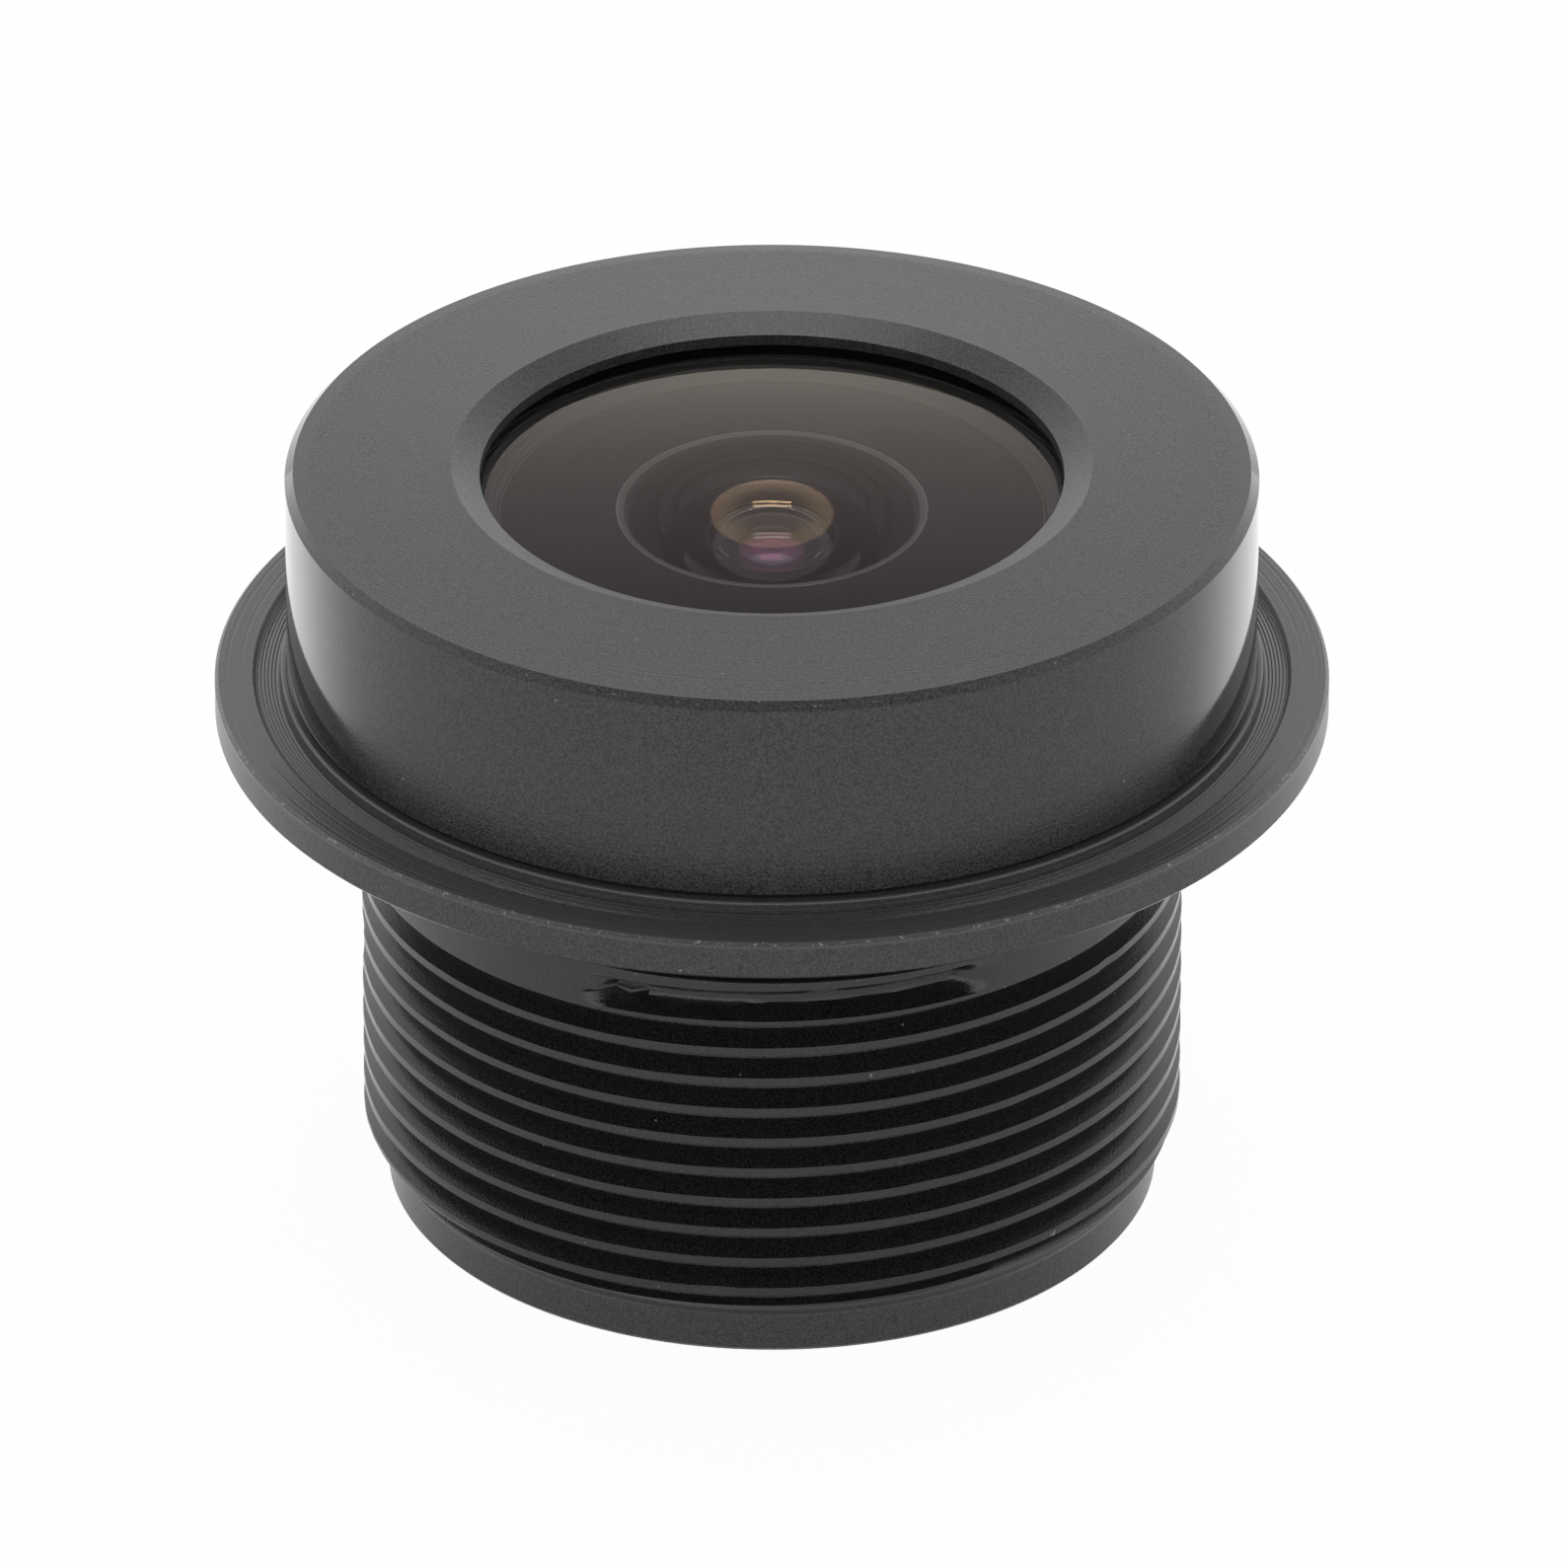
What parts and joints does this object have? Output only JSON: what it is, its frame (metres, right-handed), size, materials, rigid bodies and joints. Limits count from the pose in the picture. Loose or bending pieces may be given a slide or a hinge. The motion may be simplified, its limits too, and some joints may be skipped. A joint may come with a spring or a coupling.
{
  "type": "wide-angle lens",
  "caption": "Fixed-focus wide-angle lens with a threaded shank, a thin grip flange and a cap round its front glass; screws into a small camera's lens holder.",
  "frame": {"origin": "centre of the rear rim, on the plane that the lens stands on", "axes": "+Z along the optical axis, from the rear rim towards the front glass; -Y towards the viewer of the picture"},
  "size_m": [0.0162, 0.0162, 0.0116],
  "materials": {
    "black_anodised_body": "black anodised, satin, fine turned",
    "black_anodised_cap": "black anodised, satin, bead blasted",
    "black_ring": "black anodised, matte",
    "stop_metal": "chemically blackened",
    "baffle_film": "dull black film",
    "black_spacer": "dull black, moulded",
    "seal_rubber": "black, soft",
    "front_glass": "polished, anti-reflection coated",
    "inner_glass": "polished, anti-reflection coated",
    "filter_glass": "polished, infrared-cut coated"
  },
  "bodies": {
    "root": {"barrel": "black_anodised_body", "front_cap": "black_anodised_cap", "front_o_ring": "seal_rubber", "lens_element_1": "front_glass", "lens_element_2": "inner_glass", "lens_element_3": "inner_glass", "lens_element_4": "inner_glass", "lens_element_5": "inner_glass", "lens_element_6": "inner_glass", "light_baffle_1": "baffle_film", "light_baffle_2": "baffle_film", "light_baffle_3": "baffle_film", "spacer_ring_1": "black_spacer", "spacer_ring_2": "black_spacer", "spacer_ring_3": "black_spacer", "spacer_ring_4": "black_spacer", "aperture_stop": "stop_metal", "rear_retaining_ring": "black_ring", "filter_ring": "black_ring", "ir_cut_filter": "filter_glass"}
  },
  "joints": []
}
